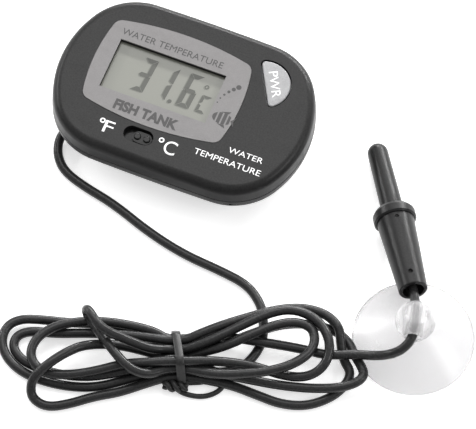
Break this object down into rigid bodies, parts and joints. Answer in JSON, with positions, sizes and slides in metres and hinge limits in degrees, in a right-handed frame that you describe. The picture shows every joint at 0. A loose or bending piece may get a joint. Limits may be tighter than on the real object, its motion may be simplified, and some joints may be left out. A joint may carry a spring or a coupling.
{
  "type": "digital aquarium thermometer",
  "caption": "Digital aquarium thermometer: black oval display unit with push button and unit switch, a thin lead tied in a hank, a clear suction cup and a round-tipped sensor probe.",
  "frame": {"origin": "centre of the display unit's footprint on the surface it lies on", "axes": "+X along the display unit's long side, to the right of the display; +Y towards the top of the display; +Z out of the display"},
  "size_m": [0.1144, 0.1011, 0.0144],
  "materials": {
    "cover_plastic": "fine moulded texture",
    "surround_metal": "satin metallic paint",
    "display_film": "satin film",
    "display_glass": "clear",
    "reflector_film": "matt",
    "frame_plastic": "moulded",
    "contact_rubber": "soft, striped",
    "board_laminate": "solder mask",
    "chip_resin": "cured resin",
    "bright_steel": "bright",
    "ceramic": "ceramic",
    "spring_brass": "sheet",
    "button_plastic": "silver paint, speckled",
    "switch_plastic": "moulded",
    "knob_plastic": "polished",
    "screw_steel": "zinc plated",
    "lead_pvc": "satin",
    "wire_pvc": "satin",
    "tie_pvc": "satin",
    "probe_plastic": "moulded",
    "potting_resin": "rough cured resin",
    "thermistor_resin": "dipped",
    "clear_pvc": "clear, soft"
  },
  "bodies": {
    "housing": {"front_cover": "cover_plastic", "rear_cover": "cover_plastic", "faceplate": "surround_metal", "display_front_film": "display_film", "display_front_glass": "display_glass", "display_rear_glass": "display_glass", "display_reflector": "reflector_film", "display_frame": "frame_plastic", "contact_strip": "contact_rubber", "circuit_board": "board_laminate", "chip_cover": "chip_resin", "timing_crystal": "bright_steel", "capacitors": "ceramic", "resistors": "chip_resin", "button_cell": "bright_steel", "negative_contact": "spring_brass", "positive_contact": "spring_brass", "push_switch_body": "switch_plastic", "slide_switch_body": "switch_plastic", "cover_screws": "screw_steel", "board_screws": "screw_steel", "strain_relief": "lead_pvc", "lead_wires": "wire_pvc", "cord_lead": "lead_pvc", "cord_hank": "lead_pvc", "cord_tail": "lead_pvc", "hank_tie": "tie_pvc", "probe_sleeve": "probe_plastic", "probe_tube": "probe_plastic", "probe_potting": "potting_resin", "thermistor": "thermistor_resin", "thermistor_leads": "bright_steel"},
    "power_button": {"power_button": "button_plastic", "push_switch_plunger": "switch_plastic"},
    "unit_switch": {"unit_switch_knob": "knob_plastic", "slide_switch_contact": "spring_brass"},
    "battery_door": {"battery_door": "cover_plastic"},
    "suction_cup": {"suction_cup": "clear_pvc"}
  },
  "joints": [
    {"name": "button_press", "type": "slide", "parent": "housing", "child": "power_button", "axis": [0, 0, -1], "range_m": [0, 0.0004], "stiffness_N_per_m": 800},
    {"name": "unit_slide", "type": "slide", "parent": "housing", "child": "unit_switch", "axis": [1, 0, 0], "range_m": [-0.0018, 0]},
    {"name": "door_turn", "type": "hinge", "parent": "housing", "child": "battery_door", "pos_m": [0.008, 0, 0], "axis": [0, 0, -1], "range_deg": [0, 45]},
    {"name": "cup_swing", "type": "hinge", "parent": "housing", "child": "suction_cup", "pos_m": [0.06935, -0.0324, 0.0105], "axis": [0.2079, -0.9781, 0], "range_deg": [0, 80]}
  ]
}
